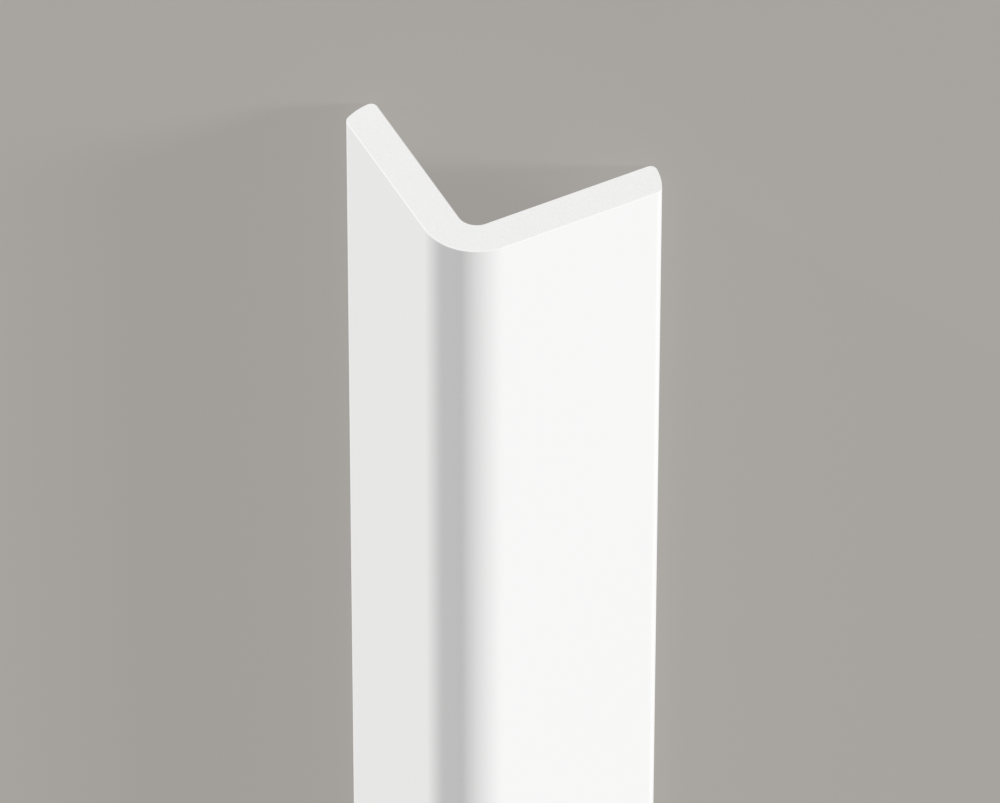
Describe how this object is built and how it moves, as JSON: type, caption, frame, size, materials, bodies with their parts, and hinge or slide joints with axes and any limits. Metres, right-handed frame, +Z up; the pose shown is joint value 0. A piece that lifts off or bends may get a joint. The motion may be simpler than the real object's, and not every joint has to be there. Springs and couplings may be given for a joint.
{
  "type": "corner moulding",
  "caption": "Equal-legged angle moulding with a rounded corner and eased tips, glued over an outside wall corner to cover and protect it.",
  "frame": {"origin": "on the floor under the middle of the moulding, which lies on the back arrises of its two tips", "axes": "+Y along the length, with the end that the picture shows facing -Y; +Z up through the rounded corner; +X across"},
  "size_m": [0.067, 2, 0.0353],
  "materials": {
    "white_foam": "satin"
  },
  "bodies": {
    "root": {"corner_moulding": "white_foam"}
  },
  "joints": []
}
